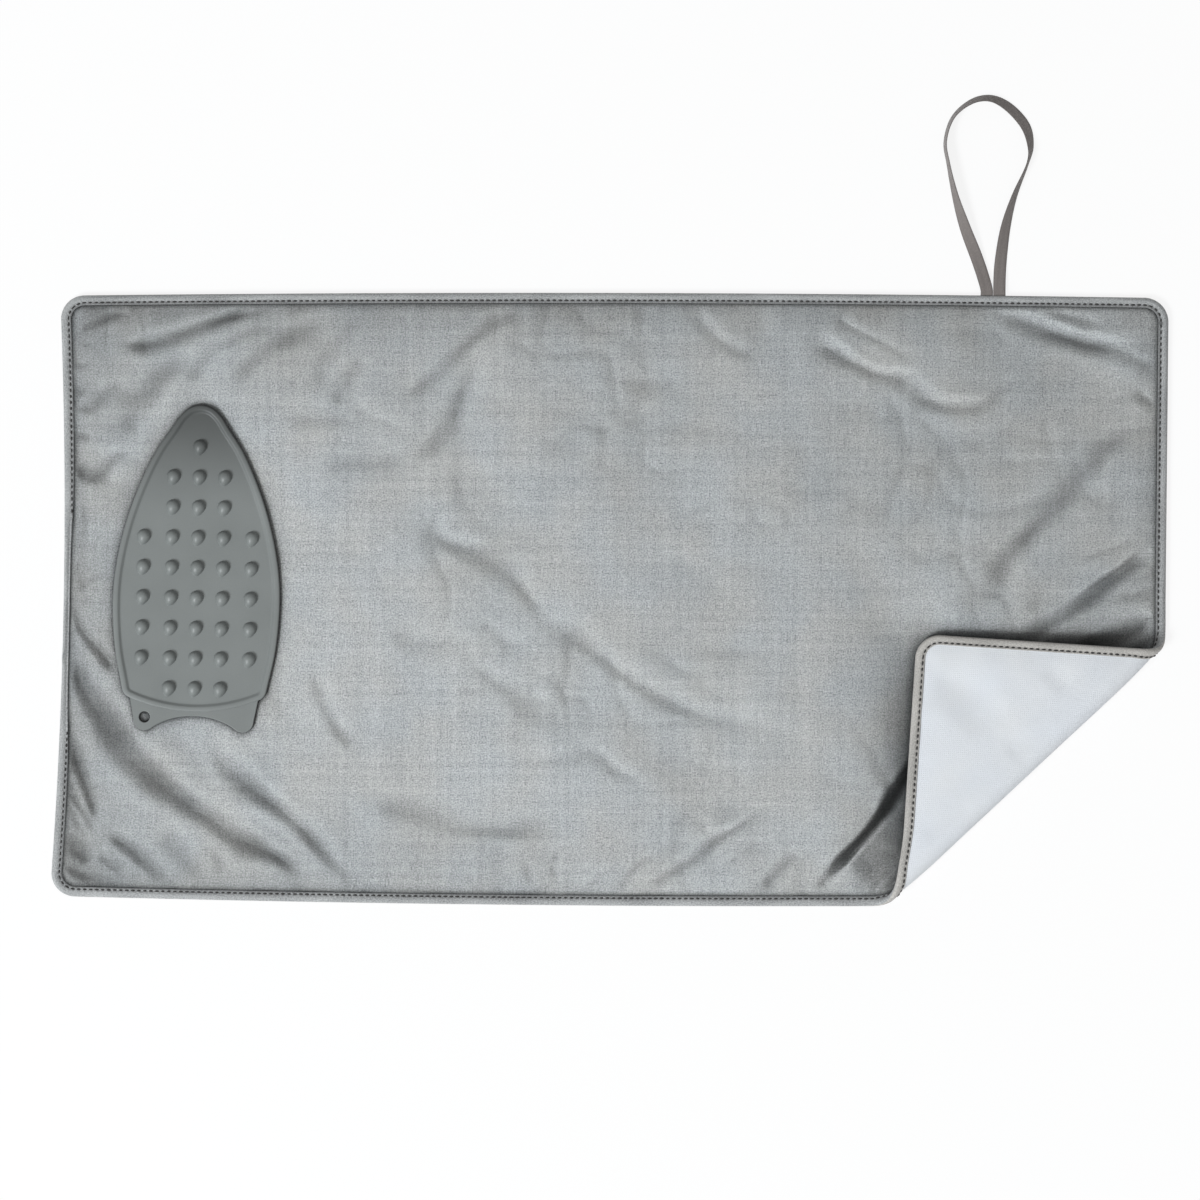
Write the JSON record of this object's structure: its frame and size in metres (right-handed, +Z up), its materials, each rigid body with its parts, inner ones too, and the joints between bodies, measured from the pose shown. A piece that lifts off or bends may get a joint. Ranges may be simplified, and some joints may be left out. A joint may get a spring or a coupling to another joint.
{
  "type": "ironing pad",
  "caption": "Wadded ironing pad with a silver cloth top, bound edge, white backing, a corner turned over, a ribbon hanging loop and a loose silicone iron rest with domed nubs.",
  "frame": {"origin": "middle of the underside, on the backing, where the pad rests on a table", "axes": "+X along the pad's length, +Y towards the edge with the hanging loop, +Z up"},
  "size_m": [0.9119, 0.6629, 0.026],
  "materials": {
    "silver_cloth": "satin",
    "felt": "matte",
    "white_cloth": "matte",
    "binding_tape": "matte",
    "seam_thread": "matte",
    "ribbon": "matte",
    "silicone": "matte"
  },
  "bodies": {
    "mat": {"top_cover": "silver_cloth", "wadding": "felt", "backing": "white_cloth", "edge_binding": "binding_tape", "needle_thread": "seam_thread", "bobbin_thread": "seam_thread", "loop_tail_left": "ribbon", "loop_tail_right": "ribbon"},
    "corner_fold": {"fold_cover": "silver_cloth", "fold_wadding": "felt", "fold_backing": "white_cloth", "fold_binding_side": "binding_tape", "fold_needle_thread_side": "seam_thread", "fold_bobbin_thread_side": "seam_thread", "fold_binding_front": "binding_tape", "fold_needle_thread_front": "seam_thread", "fold_bobbin_thread_front": "seam_thread"},
    "corner_flap": {"flap_cover": "silver_cloth", "flap_wadding": "felt", "flap_backing": "white_cloth", "flap_binding": "binding_tape", "flap_needle_thread": "seam_thread", "flap_bobbin_thread": "seam_thread"},
    "hanging_loop": {"hanging_loop": "ribbon"},
    "iron_rest": {"iron_rest": "silicone"}
  },
  "joints": [
    {"name": "corner_unfold", "type": "hinge", "parent": "mat", "child": "corner_fold", "pos_m": [0.33203, -0.14068, 0.00529], "axis": [0.7311, 0.6823, 0], "range_deg": [0, 92.9], "deforming": ["fold_cover", "fold_wadding", "fold_backing", "fold_binding_side", "fold_needle_thread_side", "fold_bobbin_thread_side", "fold_binding_front", "fold_needle_thread_front", "fold_bobbin_thread_front"]},
    {"name": "corner_unfold_upper", "type": "hinge", "parent": "corner_fold", "child": "corner_flap", "pos_m": [0.33147, -0.14008, 0.02149], "axis": [0.7311, 0.6823, 0], "range_deg": [0, 92.9]},
    {"name": "loop_swing", "type": "hinge", "parent": "mat", "child": "hanging_loop", "pos_m": [0.3091, 0.24953, 0.005], "axis": [1, 0, 0], "range_deg": [0, 150]},
    {"name": "rest_lift", "type": "slide", "parent": "mat", "child": "iron_rest", "axis": [0, 0, 1], "range_m": [0, 0.15]}
  ],
  "couplings": [
    {"joint": "corner_unfold_upper", "follows": "corner_unfold", "ratio": 1}
  ]
}
